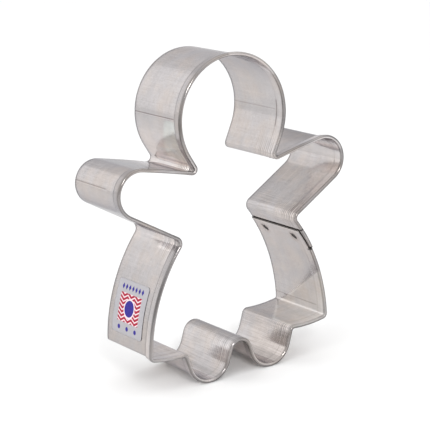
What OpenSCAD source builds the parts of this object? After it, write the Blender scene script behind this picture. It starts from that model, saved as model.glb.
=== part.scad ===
/* [Strip] */
// Depth of the cutter, from the front of the hem to the cutting edge
depth = 25.4; // [23:0.1:30]
// Thickness of the tinplate
sheet_t = 0.3; // [0.25:0.01:0.35]

/* [Hem] */
// Thickness of the hem over its fold
hem_t = 1.1; // [0.9:0.05:1.2]
// Width of the hem, from its fold to its own edge
hem_w = 3.4; // [2.5:0.1:4.5]
// Gap between the hem's own edge and the wall
hem_edge_gap = 0.1; // [0.05:0.01:0.15]

/* [Head] */
// Radius of the head
head_r = 18.2; // [17:0.1:19]
// Height of the head's centre
head_z = 79; // [78:0.1:81]
// Half the distance between the centres of the neck bends
neck_x = 15.3; // [14.5:0.1:16]
// Height of the centres of the neck bends
neck_z = 65.7; // [65:0.1:66.5]
// Radius of the neck bends
neck_r = 1.5; // [1.4:0.1:2]

/* [Arms] */
// Half the distance between the centres of the arm tips
arm_x = 33.2; // [32:0.1:36]
// Height of the centres of the arm tips
arm_z = 61.2; // [60.5:0.1:62]
// Radius of the arm tips
arm_r = 6.7; // [6.2:0.1:7.2]
// Radius of the slight bow along the top of an arm
arm_bow = 330; // [200:10:600]

/* [Skirt] */
// Half the distance between the centres of the waist bends
waist_x = 22.8; // [22:0.1:23.5]
// Height of the centres of the waist bends
waist_z = 44.6; // [44:0.1:45.5]
// Radius of the waist bends
waist_r = 2.2; // [1.6:0.1:2.8]
// Radius of the bow down each side of the skirt
side_bow = 53.7; // [48:0.1:70]
// Half the distance between the centres of the skirt's corners
corner_x = 31; // [30:0.1:32.5]
// Height of the centres of the skirt's corners
corner_z = 12.5; // [12:0.1:13.5]
// Radius of the skirt's corners
corner_r = 0.9; // [0.8:0.1:2]
// Radius of the bow along the skirt's bottom
bottom_bow = 45.5; // [38:0.5:80]

/* [Feet] */
// Half the distance between the centres of the ankle bends
ankle_x = 20.6; // [20.3:0.1:21.2]
// Height of the centres of the ankle bends
ankle_z = 9.1; // [8.7:0.1:9.6]
// Radius of the ankle bends
ankle_r = 1.8; // [1.5:0.1:2.2]
// Half the distance between the centres of the feet
foot_x = 11.2; // [10.9:0.1:11.6]
// Radius of the feet
foot_r = 6.7; // [6.2:0.1:6.9]
// Height of the centre of the bend between the feet
crotch_z = 7.4; // [7:0.1:8.6]
// Radius of the bend between the feet
crotch_r = 4; // [3.4:0.1:4.2]

/* [Set of the bends] */
// Sideways set of both neck bends
neck_set = 0.3; // [-0.5:0.1:0.5]
// Sideways set of both waist bends
waist_set = 0.7; // [-0.7:0.1:0.7]
// Sideways set of the ankles, the feet and the bend between them
feet_set = -0.6; // [-0.8:0.1:0.8]

/* [Lap] */
// Height of the inner end of the strip
lap_top_z = 40.4; // [39:0.1:41]
// Length of the lap along the skirt
lap_len = 7; // [6:0.1:9]
// Gap between the two layers
lap_gap = 0.05; // [0.03:0.01:0.1]
// Depth of the snip in the inner layer at the end of the strip
snip_end = 1.6; // [1.3:0.1:2]
// Depth of the snip in the inner layer where the hem starts
snip_root = 0.7; // [0.65:0.05:1.2]
// Gap between the ends of the two hems
hem_gap = 0.3; // [0.2:0.05:0.5]

/* [Spot welds] */
// Diameter of a weld nugget
weld_d = 2.4; // [1.5:0.1:3]
// Distance of the front weld from the front of the hem
weld_front = 5.9; // [5:0.1:8]
// Distance of the back weld from the cutting edge
weld_back = 4.9; // [3:0.1:8]
// Depth of the dimple over a nugget
weld_dimple = 0.05; // [0.03:0.01:0.08]

/* [Label] */
// Width of the label, across the strip
label_w = 16.4; // [10:0.1:16.6]
// Length of the label, along the strip
label_len = 16.2; // [10:0.1:17]
// Distance of the label from the front of the hem
label_front = 6.3; // [5:0.1:6.4]
// Height of the middle of the label
label_z = 23.6; // [22:0.1:26]
// Thickness of the film
film_t = 0.08; // [0.05:0.01:0.1]
// Thickness of the adhesive
glue_t = 0.03; // [0.02:0.01:0.05]

/* [Hidden] */
$fn = 96;
half_t = sheet_t / 2;
fold_r = hem_t / 2;
bore_r = fold_r - sheet_t;
flap_len = hem_w - fold_r;
// Offset of the fold's centre from the middle of the sheet
fold_x = fold_r - half_t;
// How far the hem stands out from the middle of the sheet
hem_out = hem_t - half_t;
// Lean of the hem's flap towards the wall, which leaves hem_edge_gap at the flap's edge
hem_lean = acos((half_t + hem_edge_gap - fold_x) / norm([bore_r, flap_len])) - atan2(flap_len, bore_r);
layer_step = sheet_t + lap_gap;
// The origin is on the floor between the feet, half way along the depth
front = -depth / 2;
back = depth / 2;
// Bows and straight runs are this much thinner on each face, and end this far inside the bends
joint_inset = 0.02;
joint_overlap = 0.05;
// Any length past the faces of the sheet that lets a cut go through
through = 1;

// A bend is [x, z, radius]: the radius is positive where the strip turns clockwise, seen from the front
function at(bend) = [bend[0], bend[1]];
function with_radius(centre, r) = [centre[0], centre[1], r];
function left_of(v) = [-v[1], v[0]];
function angle_of(v) = atan2(v[1], v[0]);
function turned(a) = a - 360 * floor(a / 360);
function along(len, r) = len / r * 180 / PI;

// Outward normal of the straight run from bend a to bend b
function run_normal(a, b) =
    let (d = at(b) - at(a), s = max(-1, min(1, (a[2] - b[2]) / norm(d))))
    (left_of(d) * sqrt(1 - s * s) + d * s) / norm(d);

// Centre of the bow that lies from_a away from bend a and from_b away from bend b, on the inner side
function bow_centre(a, b, from_a, from_b) =
    let (d = at(b) - at(a), x = (from_a * from_a - from_b * from_b + d * d) / (2 * norm(d)))
    at(a) + (d * x - left_of(d) * sqrt(from_a * from_a - x * x)) / norm(d);
function bow(a, b, r) = with_radius(bow_centre(a, b, r - a[2], r - b[2]), r);

function neck(side) = [side * neck_x + neck_set, neck_z, -neck_r];
function arm(side) = [side * arm_x, arm_z, arm_r];
function waist(side) = [side * waist_x + waist_set, waist_z, -waist_r];
function corner(side) = [side * corner_x, corner_z, corner_r];
function ankle(side) = [side * ankle_x + feet_set, ankle_z, -ankle_r];
function foot(side) = [side * foot_x + feet_set, foot_r + hem_out, foot_r];
head = [0, head_z, head_r];
crotch = [feet_set, crotch_z, -crotch_r];

// Down the skirt's right side both ends of the strip bend round one centre, a layer apart
side_centre = bow_centre(waist(1), corner(1), side_bow + layer_step + waist_r, side_bow - corner_r);
side_inner = with_radius(side_centre, side_bow);
side_outer = with_radius(side_centre, side_bow + layer_step);
side_left = bow(corner(-1), waist(-1), side_bow);

// The bends in order, clockwise from the strip's inner end to its outer end
bends = [
    side_inner, corner(1), bow(corner(1), ankle(1), bottom_bow), ankle(1),
    foot(1), crotch, foot(-1),
    ankle(-1), bow(ankle(-1), corner(-1), bottom_bow), corner(-1), side_left, waist(-1),
    arm(-1), bow(arm(-1), neck(-1), arm_bow), neck(-1), head, neck(1), bow(neck(1), arm(1), arm_bow), arm(1),
    waist(1), side_outer
];
last = len(bends) - 1;
function is_bow(i) = bends[i][2] > head_r;

// Angles round side_centre of the inner end, the outer end, the hem's start and the welds
lap_top_a = asin((lap_top_z - side_centre[1]) / side_bow);
lap_end_a = lap_top_a - along(lap_len, side_bow);
hem_start_a = lap_end_a - along(hem_gap, side_bow);
weld_a = (lap_top_a + lap_end_a) / 2;
// Angle round side_left's centre of the label's middle, and half the angle that it spans
label_a = 180 - asin((label_z - side_left[1]) / side_bow);
label_half_a = along(label_len, side_bow) / 2;

// Angles of the outward normal where the strip comes into a bend and leaves it
function angle_in(i) = i == 0 ? hem_start_a : angle_of(run_normal(bends[i - 1], bends[i]));
function angle_out(i) = i == last ? lap_end_a : angle_of(run_normal(bends[i], bends[i + 1]));

// Section of the wall, past the cutting edge: x is the offset outwards from the middle of the sheet
module wall_section(from, inset = 0) {
    translate([inset - half_t, front + from])
    square([sheet_t - 2 * inset, depth - from + through - inset]);
}

// Section of the hem: the round fold, and the flap that leans back towards the wall
module hem_section(inset) {
    reach = 4 * fold_r;
    translate([fold_x, front + fold_r]) {
        difference() {
            circle(r = fold_r - inset);
            circle(r = bore_r + inset);
            polygon([
                [0, 0], [reach * cos(hem_lean), reach * sin(hem_lean)],
                [reach, reach], [-reach, reach], [-reach, 0]
            ]);
        }
        rotate(hem_lean)
        translate([bore_r + inset, 0])
        square([sheet_t - 2 * inset, flap_len - inset]);
    }
}

module strip_section(inset = 0) {
    wall_section(fold_r, inset);
    hem_section(inset);
}

// Sweeps a section round a bend between two angles of the outward normal, and on by more at each end
module round_bend(bend, from, to, more = 0) {
    r = bend[2];
    clockwise = r > 0;
    sweep = turned(clockwise ? from - to : to - from) + 2 * more;
    start = (clockwise ? -from : 180 - to) - more;
    translate([bend[0], 0, bend[1]])
    rotate([-90, 0, 0])
    rotate(start)
    rotate_extrude(angle = sweep)
    translate([abs(r), 0])
    scale([clockwise ? 1 : -1, 1])
    children();
}

// The strip round bend i: a bow is thinner and runs on into the bends on both sides of it
module strip_bend(i) {
    inset = is_bow(i) ? joint_inset : 0;
    more = is_bow(i) ? along(joint_overlap, bends[i][2]) : 0;
    round_bend(bends[i], angle_in(i), angle_out(i), more) strip_section(inset);
}

// The strip's straight run from bend i to the next, where they don't touch
module strip_run(i) {
    n = run_normal(bends[i], bends[i + 1]);
    start = at(bends[i]) + n * bends[i][2];
    end = at(bends[i + 1]) + n * bends[i + 1][2];
    if (norm(end - start) > 10 * joint_overlap)
        translate([end[0], 0, end[1]])
        rotate([0, -angle_of(n), 0])
        translate([0, 0, -joint_overlap])
        linear_extrude(height = norm(end - start) + 2 * joint_overlap)
        strip_section(joint_inset);
}

// The inner layer of the lap: its hem is snipped off on a slant, so that it lies flat
module lapped_end() {
    tail_len = lap_len + hem_gap;
    tail_mid_a = (lap_top_a + hem_start_a) / 2;
    difference() {
        round_bend(side_inner, lap_top_a, hem_start_a) wall_section(0);
        translate([side_centre[0], 0, side_centre[1]])
        rotate([0, -tail_mid_a, 0])
        translate([side_bow - through, 0, -tail_len / 2])
        rotate([90, 0, 90])
        linear_extrude(height = 2 * through)
        polygon([
            [front - through, -through], [front + snip_root, -through], [front + snip_root, 0],
            [front + snip_end, tail_len + through], [front - through, tail_len + through]
        ]);
    }
}

// A rod at each weld, square to the lap, that starts and ends this far past its two layers
module weld_rods(past) {
    for (y = [front + weld_front, back - weld_back])
        translate([side_centre[0], y, side_centre[1]])
        rotate([0, 90 - weld_a, 0])
        translate([0, 0, side_bow - half_t - past])
        cylinder(d = weld_d, h = sheet_t + layer_step + 2 * past);
}

// All that lies behind the plane of the cutting edge
module past_cutting_edge() {
    reach = 4 * head_z;
    translate([-reach / 2, back, -reach / 2])
    cube(reach);
}

module cutter_band() {
    color("silver")
    difference() {
        union() {
            lapped_end();
            for (i = [0:last]) strip_bend(i);
            for (i = [0:last - 1]) strip_run(i);
        }
        weld_rods(through);
        past_cutting_edge();
    }
}

module spot_welds() {
    color("gray")
    weld_rods(-weld_dimple);
}

// A layer of the label on the outside of the skirt's left side
module label_layer(from, thickness) {
    round_bend(side_left, label_a + label_half_a, label_a - label_half_a)
    translate([half_t - joint_inset + from, front + label_front])
    square([thickness, label_w]);
}

module label_adhesive() {
    color("ivory")
    label_layer(0, glue_t);
}

module label_film() {
    color("lavender")
    label_layer(glue_t, film_t);
}

cutter_band();
spot_welds();
label_adhesive();
label_film();
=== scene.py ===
"""A cookie cutter: one hemmed strip of tinplate bent to a figure, its two spot welds and a small label."""

import math

import bpy
import numpy as np
from mathutils import Matrix, Vector


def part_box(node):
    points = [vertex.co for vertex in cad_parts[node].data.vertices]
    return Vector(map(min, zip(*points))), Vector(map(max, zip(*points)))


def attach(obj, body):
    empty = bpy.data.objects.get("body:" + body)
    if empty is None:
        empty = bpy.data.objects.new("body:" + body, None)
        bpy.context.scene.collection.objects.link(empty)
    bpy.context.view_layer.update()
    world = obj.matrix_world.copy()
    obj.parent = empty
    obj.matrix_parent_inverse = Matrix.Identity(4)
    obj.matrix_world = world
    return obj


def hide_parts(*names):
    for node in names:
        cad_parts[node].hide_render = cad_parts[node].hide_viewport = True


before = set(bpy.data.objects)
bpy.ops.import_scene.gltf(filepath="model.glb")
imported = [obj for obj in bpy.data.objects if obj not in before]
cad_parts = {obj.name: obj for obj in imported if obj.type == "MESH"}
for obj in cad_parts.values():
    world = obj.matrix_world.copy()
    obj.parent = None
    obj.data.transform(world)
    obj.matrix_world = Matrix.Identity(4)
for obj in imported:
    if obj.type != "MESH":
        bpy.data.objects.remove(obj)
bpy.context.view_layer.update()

# Millimetre, in metres
MM = 0.001


def millimetres(corner):
    return np.array(corner) / MM


# Strip, in millimetres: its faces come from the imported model, its gauge and hem are the part's own
band_low, band_high = [millimetres(corner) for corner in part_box("cutter_band")]
FRONT = band_low[1]
BACK = band_high[1]
SHEET_T = 0.3
HALF_T = SHEET_T / 2
HEM_T = 1.1
HEM_W = 3.4
HEM_EDGE_GAP = 0.1
FOLD_R = HEM_T / 2
BORE_R = FOLD_R - SHEET_T
FLAP_LEN = HEM_W - FOLD_R
FOLD_X = FOLD_R - HALF_T
HEM_OUT = HEM_T - HALF_T
flap_slope = math.acos((HALF_T + HEM_EDGE_GAP - FOLD_X) / math.hypot(BORE_R, FLAP_LEN))
HEM_LEAN = flap_slope - math.atan2(FLAP_LEN, BORE_R)

# Bends of the outline, in millimetres
HEAD_R, HEAD_Z = 18.2, 79
NECK_X, NECK_Z, NECK_R, NECK_SET = 15.3, 65.7, 1.5, 0.3
ARM_X, ARM_Z, ARM_R, ARM_BOW = 33.2, 61.2, 6.7, 330
WAIST_X, WAIST_Z, WAIST_R, WAIST_SET = 22.8, 44.6, 2.2, 0.7
SIDE_BOW = 53.7
CORNER_X, CORNER_Z, CORNER_R = 31, 12.5, 0.9
BOTTOM_BOW = 45.5
ANKLE_X, ANKLE_Z, ANKLE_R = 20.6, 9.1, 1.8
FOOT_X, FOOT_R = 11.2, 6.7
CROTCH_Z, CROTCH_R = 7.4, 4
FEET_SET = -0.6

# Lap, in millimetres
LAP_TOP_Z, LAP_LEN, LAP_GAP = 40.4, 7, 0.05
SNIP_END, SNIP_ROOT = 1.6, 0.7
HEM_GAP = 0.3
LAYER_STEP = SHEET_T + LAP_GAP

# Welds and label, in millimetres
WELD_D, WELD_FRONT, WELD_BACK = 2.4, 5.9, 4.9
LABEL_W, LABEL_LEN, LABEL_FRONT, LABEL_Z = 16.4, 16.2, 6.3, 23.6
FILM_T, GLUE_T = 0.08, 0.03


def left_of(v):
    return np.array([-v[1], v[0]])


def at(bend):
    return np.array(bend[:2], float)


def angle_of(v):
    return math.atan2(v[1], v[0])


def ray(angle):
    return np.array([math.cos(angle), math.sin(angle)])


def run_normal(a, b):
    """Outward normal of the straight run from bend a to bend b."""
    d = at(b) - at(a)
    length = np.linalg.norm(d)
    s = max(-1, min(1, (a[2] - b[2]) / length))
    return (left_of(d) * math.sqrt(1 - s * s) + d * s) / length


def bow_centre(a, b, from_a, from_b):
    """Centre of the bow that lies from_a away from bend a and from_b away from bend b."""
    d = at(b) - at(a)
    length = np.linalg.norm(d)
    x = (from_a**2 - from_b**2 + length**2) / (2 * length)
    return at(a) + (d * x - left_of(d) * math.sqrt(from_a**2 - x * x)) / length


def bow(a, b, r):
    return (*bow_centre(a, b, r - a[2], r - b[2]), r)


def neck(side):
    return (side * NECK_X + NECK_SET, NECK_Z, -NECK_R)


def arm(side):
    return (side * ARM_X, ARM_Z, ARM_R)


def waist(side):
    return (side * WAIST_X + WAIST_SET, WAIST_Z, -WAIST_R)


def corner(side):
    return (side * CORNER_X, CORNER_Z, CORNER_R)


def ankle(side):
    return (side * ANKLE_X + FEET_SET, ANKLE_Z, -ANKLE_R)


def foot(side):
    return (side * FOOT_X + FEET_SET, FOOT_R + HEM_OUT, FOOT_R)


# The bends in order, clockwise seen from the front, from the strip's inner end to its outer end.
# Each is (x, z, radius), and the radius is positive where the strip turns clockwise.
RIGHT, LEFT = 1, -1
side_centre = bow_centre(waist(RIGHT), corner(RIGHT), SIDE_BOW + LAYER_STEP + WAIST_R, SIDE_BOW - CORNER_R)
side_left = bow(corner(LEFT), waist(LEFT), SIDE_BOW)
BENDS = [
    (*side_centre, SIDE_BOW), corner(RIGHT), bow(corner(RIGHT), ankle(RIGHT), BOTTOM_BOW), ankle(RIGHT),
    foot(RIGHT), (FEET_SET, CROTCH_Z, -CROTCH_R), foot(LEFT),
    ankle(LEFT), bow(ankle(LEFT), corner(LEFT), BOTTOM_BOW), corner(LEFT), side_left, waist(LEFT),
    arm(LEFT), bow(arm(LEFT), neck(LEFT), ARM_BOW), neck(LEFT), (0, HEAD_Z, HEAD_R), neck(RIGHT),
    bow(neck(RIGHT), arm(RIGHT), ARM_BOW), arm(RIGHT), waist(RIGHT), (*side_centre, SIDE_BOW + LAYER_STEP),
]

lap_top_a = math.asin((LAP_TOP_Z - side_centre[1]) / SIDE_BOW)
lap_end_a = lap_top_a - LAP_LEN / SIDE_BOW
weld_a = (lap_top_a + lap_end_a) / 2
# Shortest straight run that is a stretch of its own, and the steps of the search for a place on the strip
SHORTEST_RUN, SEARCH_STEPS = 0.1, 4000


def arc_stretch(bend, start, end):
    """A stretch round a bend, from one angle of its outward normal to another."""
    r = bend[2]
    if r > 0:
        sweep = -((start - end) % math.tau)
    else:
        sweep = (end - start) % math.tau
    return {"bend": bend, "start": start, "sweep": sweep, "length": abs(r * sweep)}


def straight_stretch(a, b):
    n = run_normal(a, b)
    start, end = at(a) + n * a[2], at(b) + n * b[2]
    return {"normal": n, "start": start, "end": end, "length": np.linalg.norm(end - start)}


def strip_stretches():
    """The strip's stretches in order: its bends, and the straight runs between those that don't touch."""
    stretches = []
    for i, bend in enumerate(BENDS):
        start = lap_top_a if i == 0 else angle_of(run_normal(BENDS[i - 1], bend))
        end = lap_end_a if i == len(BENDS) - 1 else angle_of(run_normal(bend, BENDS[i + 1]))
        stretches.append(arc_stretch(bend, start, end))
        if i < len(BENDS) - 1:
            run = straight_stretch(bend, BENDS[i + 1])
            if run["length"] > SHORTEST_RUN:
                stretches.append(run)
    return stretches


STRETCHES = strip_stretches()
STARTS = np.cumsum([0] + [stretch["length"] for stretch in STRETCHES])
STRIP_LEN = STARTS[-1]


def place(s):
    """Place on the middle of the sheet and outward normal, s along the strip from its inner end."""
    i = int(np.clip(np.searchsorted(STARTS, s, side="right") - 1, 0, len(STRETCHES) - 1))
    stretch = STRETCHES[i]
    share = (s - STARTS[i]) / stretch["length"]
    if "normal" in stretch:
        return stretch["start"] + (stretch["end"] - stretch["start"]) * share, stretch["normal"]
    n = ray(stretch["start"] + stretch["sweep"] * share)
    return at(stretch["bend"]) + n * stretch["bend"][2], n


def distance_along(x, z, first=0.0, last=STRIP_LEN):
    """How far along the strip the point nearest to x, z lies, in millimetres."""
    steps = np.linspace(first, last, SEARCH_STEPS)
    gaps = [math.dist(place(s)[0], (x, z)) for s in steps]
    return float(steps[int(np.argmin(gaps))])


def strip_point(s, y, out):
    """Point in metres, s along the strip, y across it and out from the middle of the sheet."""
    (x, z), (nx, nz) = place(s)
    return (x + nx * out) * MM, y * MM, (z + nz * out) * MM


# Places along the strip, in millimetres from its inner end
HEM_START = LAP_LEN + HEM_GAP
AFTER_LAP = 2 * HEM_START
HEAD_CREASE = distance_along(-18.2, 80.3)
HEAD_CREASE_RIGHT = distance_along(18.2, 78.6)
ARM_CREASE = distance_along(-39.9, 62.8)
SKIRT_CREASE = distance_along(31.6, 14.4, AFTER_LAP, STRIP_LEN / 2)
WELD_INNER = (lap_top_a - weld_a) * SIDE_BOW
WELD_OUTER = STRIP_LEN - (weld_a - lap_end_a) * (SIDE_BOW + LAYER_STEP)
WELD_YS = (FRONT + WELD_FRONT, BACK - WELD_BACK)
LAP_EDGE = STRIP_LEN - (lap_top_a - lap_end_a) * (SIDE_BOW + LAYER_STEP)

# Creases across the sheet: (millimetres along the strip, y from, y to, depth)
CREASES = [
    (HEAD_CREASE, FRONT + HEM_W, BACK, 0.07), (HEAD_CREASE_RIGHT, FRONT + HEM_W, BACK, 0.03),
    (ARM_CREASE, FRONT + 7.0, BACK, 0.05), (SKIRT_CREASE, FRONT + HEM_W, BACK, 0.04),
]
CREASE_WIDTH, CREASE_FADE = 0.2, 1.5
# Line that the hem's own edge has pressed into the wall, just past that edge
HEM_LINE_PAST, HEM_LINE_DEPTH, HEM_LINE_WIDTH = 0.1, 0.04, 0.18
HEM_LINE_Y = FRONT + HEM_W + HEM_LINE_PAST
# Dent of the welding electrode, on one face of each layer
PIT_DEPTH, PIT_FLOOR, PIT_EDGE = 0.12, 0.95, 1.6


def bell(distance, width):
    return math.exp(-((distance / width) ** 2))


def eased(value, low, high):
    t = min(1, max(0, (value - low) / (high - low)))
    return t * t * (3 - 2 * t)


def dent(s, y):
    """How far both faces of the wall lie towards the inside at a crease or along the hem's line."""
    depth = HEM_LINE_DEPTH * bell(y - HEM_LINE_Y, HEM_LINE_WIDTH)
    for crease, y_from, y_to, crease_depth in CREASES:
        if y_from < y <= y_to:
            depth += crease_depth * bell(s - crease, CREASE_WIDTH) * eased(y, y_from, y_from + CREASE_FADE)
    return depth


def pit(s, y, centre):
    """Depth of the electrode's dents on one face, for the welds at this distance along the strip."""
    if abs(s - centre) > PIT_EDGE:
        return 0
    gap = min(math.hypot(s - centre, y - weld_y) for weld_y in WELD_YS)
    return PIT_DEPTH * (1 - eased(gap, PIT_FLOOR, PIT_EDGE))


# Section of the sheet: stations along its middle line, with finer ones at the hem's line, buckles and welds
WALL_STEP, WALL_GAP = 1.6, 0.6
EDGE_BEVEL = 0.05
FINE_STEP = 0.25
HEM_LINE_FINE = np.array([-0.4, -0.2, 0, 0.2, 0.4])
BUCKLE_FINE = np.arange(4, 12) * FINE_STEP
WELD_FINE = np.arange(-7, 8) * FINE_STEP
FOLD_STATIONS = 15
FLAP_SHARES = (0.15, 0.35, 0.55, 0.75, 0.9)


def spread(ends, step, extra, gap):
    """Places from one end to the other, a step apart, that keep the gap to the extra ones among them."""
    places = list(extra)
    for value in np.linspace(ends[0], ends[1], max(2, math.ceil(abs(ends[1] - ends[0]) / step))):
        if all(abs(value - other) > gap for other in places):
            places.append(value)
    for value in ends:
        if min(abs(value - other) for other in places) > 0:
            places.append(value)
    return np.array(sorted(places))


def section_stations():
    """Each station's (offset, y, outward x, outward y, half thickness), and the index of the snip's root."""
    fine = [*(HEM_LINE_Y + HEM_LINE_FINE), *(FRONT + BUCKLE_FINE)]
    for weld_y in WELD_YS:
        fine += list(weld_y + WELD_FINE)
    ys = spread((FRONT + SNIP_ROOT, BACK - EDGE_BEVEL), WALL_STEP, fine, WALL_GAP)[::-1]
    stations = [(0, BACK, 1, 0, HALF_T - EDGE_BEVEL)]
    stations += [(0, y, 1, 0, HALF_T) for y in ys]
    snip = len(stations) - 1
    middle_r = (FOLD_R + BORE_R) / 2
    for angle in np.linspace(math.pi, math.tau + HEM_LEAN, FOLD_STATIONS):
        c, s = math.cos(angle), math.sin(angle)
        stations.append((FOLD_X + middle_r * c, FRONT + FOLD_R + middle_r * s, -c, -s, HALF_T))
    c, s = math.cos(HEM_LEAN), math.sin(HEM_LEAN)
    flap = [(share * FLAP_LEN, HALF_T) for share in FLAP_SHARES]
    flap += [(FLAP_LEN - EDGE_BEVEL, HALF_T), (FLAP_LEN, HALF_T - EDGE_BEVEL)]
    for out, half in flap:
        x = FOLD_X + middle_r * c - out * s
        y = FRONT + FOLD_R + middle_r * s + out * c
        stations.append((x, y, -c, -s, half))
    return np.array(stations), snip


# Rows of vertices along the strip: their steps in bends and on runs, those at a crease, and their least gap
TURN_STEP, RUN_STEP = math.radians(5), 1.1
CREASE_FINE = np.array([-0.5, -0.3, -0.15, 0, 0.15, 0.3, 0.5])
ROW_GAP, ROW_DIGITS = 0.05, 4
# Rows before this place are on the snipped end, which has no hem
TAIL_END = HEM_START - 0.001


def path_samples():
    """Distances along the strip at which its mesh has a row of vertices."""
    samples = []
    for start, stretch in zip(STARTS, STRETCHES):
        turn = 0 if "normal" in stretch else abs(stretch["sweep"])
        steps = max(2, math.ceil(turn / TURN_STEP), math.ceil(stretch["length"] / RUN_STEP))
        samples += list(start + stretch["length"] * np.arange(steps) / steps)
    samples += [STRIP_LEN, HEM_START]
    for crease, *_ in CREASES:
        samples += list(crease + CREASE_FINE)
    for centre in (WELD_INNER, WELD_OUTER):
        samples += list(centre + WELD_FINE)
    samples = np.unique(np.round(samples, ROW_DIGITS))
    keep = [samples[0]]
    for s in samples[1:]:
        if s - keep[-1] > ROW_GAP or s == round(HEM_START, ROW_DIGITS):
            keep.append(s)
    return keep


# Ripples of the hem: a slow wave everywhere, and tight wrinkles where the necks and waists squeeze it.
# Buckles are low ridges of the wall beside the hem at the same places.
TIGHT_SPOTS = [distance_along(*at(bend)) for bend in (neck(LEFT), neck(RIGHT), waist(LEFT), waist(RIGHT))]
WAVE_DEPTH, WAVE_RATE, WAVE_BEAT, WAVE_SHIFT = 0.04, 0.41, 0.17, 1.1
WRINKLE_DEPTH, WRINKLE_PITCH, WRINKLE_REACH = 0.13, 0.9, 3.0
BUCKLE_DEPTH, BUCKLE_PITCH, BUCKLE_ALONG, BUCKLE_REACH = 0.035, 1.5, 2.6, 6.5


def hem_ripple(s):
    """How far the flap lies out from its straight course: never above nought, to stay in the part's box."""
    wave = WAVE_DEPTH * (math.sin(s * WAVE_RATE) * math.sin(s * WAVE_BEAT + WAVE_SHIFT) - 1) / 2
    for spot in TIGHT_SPOTS:
        wrinkle = WRINKLE_DEPTH * bell(s - spot, WRINKLE_REACH)
        wave += wrinkle * (math.sin(math.tau * s / WRINKLE_PITCH) - 1) / 2
    return wave


def buckle(s, y):
    """How far the wall lies towards the inside in the low ridges round a squeezed bend, near the hem."""
    if y > FRONT + BUCKLE_REACH:
        return 0
    squeeze = sum(bell(s - spot, BUCKLE_ALONG) for spot in TIGHT_SPOTS)
    fade = 1 - eased(y, FRONT + BUCKLE_REACH / 2, FRONT + BUCKLE_REACH)
    return BUCKLE_DEPTH * squeeze * fade * (1 + math.sin(math.tau * (y - FRONT) / BUCKLE_PITCH))


def band_mesh():
    """The strip: its two faces, its cut edges and the ends of its layers."""
    stations, snip = section_stations()
    count = len(stations)
    lengths = np.hypot(np.diff(stations[:, 0]), np.diff(stations[:, 1]))
    reach = np.concatenate([[0], np.cumsum(lengths)])
    rows = path_samples()
    points, uvs, index = [], [], {}
    for i, s in enumerate(rows):
        tail = s < TAIL_END
        used = snip + 1 if tail else count
        (x, z), (nx, nz) = place(s)
        ripple = hem_ripple(s)
        for k in range(used):
            offset, y, out_x, out_y, half = stations[k]
            across = reach[k]
            if tail:
                snip_y = FRONT + SNIP_ROOT + (SNIP_END - SNIP_ROOT) * (1 - s / HEM_START)
                y = BACK - (BACK - y) * (BACK - snip_y) / (BACK - FRONT - SNIP_ROOT)
                across = BACK - y
            if k <= snip:
                offset -= dent(s, y) + buckle(s, y)
            else:
                offset += ripple * eased(offset, 0, HEM_OUT)
            for side in (1, -1):
                face_half = half - pit(s, y, WELD_OUTER if side == 1 else WELD_INNER) * (k <= snip)
                o = offset + side * face_half * out_x
                index[i, k, side] = len(points)
                points.append(((x + nx * o) * MM, (y + side * half * out_y) * MM, (z + nz * o) * MM))
                uvs.append((s * MM, side * across * MM))
    faces, slots = [], []
    WALL, EDGE = 0, 1

    def face(corners, slot):
        faces.append([index[corner] for corner in corners])
        slots.append(slot)

    for i in range(len(rows) - 1):
        tail = rows[i] < TAIL_END
        used = snip + 1 if tail else count
        for k in range(used - 1):
            face([(i, k, 1), (i, k + 1, 1), (i + 1, k + 1, 1), (i + 1, k, 1)], WALL)
            face([(i, k, -1), (i + 1, k, -1), (i + 1, k + 1, -1), (i, k + 1, -1)], WALL)
        end = used - 1
        face([(i, 0, 1), (i + 1, 0, 1), (i + 1, 0, -1), (i, 0, -1)], EDGE)
        face([(i, end, 1), (i, end, -1), (i + 1, end, -1), (i + 1, end, 1)], EDGE)
    hem_row = next(i for i, s in enumerate(rows) if s >= TAIL_END)
    last_row = len(rows) - 1
    for k in range(snip):
        face([(0, k, 1), (0, k, -1), (0, k + 1, -1), (0, k + 1, 1)], EDGE)
    for k in range(snip, count - 1):
        face([(hem_row, k, 1), (hem_row, k, -1), (hem_row, k + 1, -1), (hem_row, k + 1, 1)], EDGE)
    for k in range(count - 1):
        face([(last_row, k, 1), (last_row, k + 1, 1), (last_row, k + 1, -1), (last_row, k, -1)], EDGE)
    return points, faces, slots, uvs


# Nugget of a weld: rings of each end, and the diagonal trough that the electrode leaves in it
NUGGET_R, NUGGET_DEPTH = WELD_D / 2, 0.05
TROUGH_LEN, TROUGH_WIDTH, TROUGH_DEPTH, TROUGH_TURN = 1.5, 0.75, 0.06, math.radians(-35)
TROUGH_SHIFT, TROUGH_SOFT = -0.3, 0.8
TROUGH_RIM, TROUGH_RIM_AT, TROUGH_RIM_WIDTH = 0.02, 1.1, 0.25
# Dark scratch in which the trough runs on over the sheet: its middle's shift, half length and half width
SCRATCH_AT, SCRATCH_LEN, SCRATCH_WIDTH = 0.75, 1.1, 0.5
NUGGET_RINGS, NUGGET_SIDES = 9, 40


def nugget_depth(across, along):
    """Depth of the nugget's end below the sheet's face, at a place measured from the weld's middle."""
    a = across * math.cos(TROUGH_TURN) + (along - TROUGH_SHIFT) * math.sin(TROUGH_TURN)
    b = (along - TROUGH_SHIFT) * math.cos(TROUGH_TURN) - across * math.sin(TROUGH_TURN)
    from_middle = math.hypot(a / TROUGH_LEN, b / TROUGH_WIDTH)
    rim = TROUGH_RIM * bell(from_middle - TROUGH_RIM_AT, TROUGH_RIM_WIDTH)
    return NUGGET_DEPTH + TROUGH_DEPTH * bell(from_middle, TROUGH_SOFT) - rim


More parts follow.
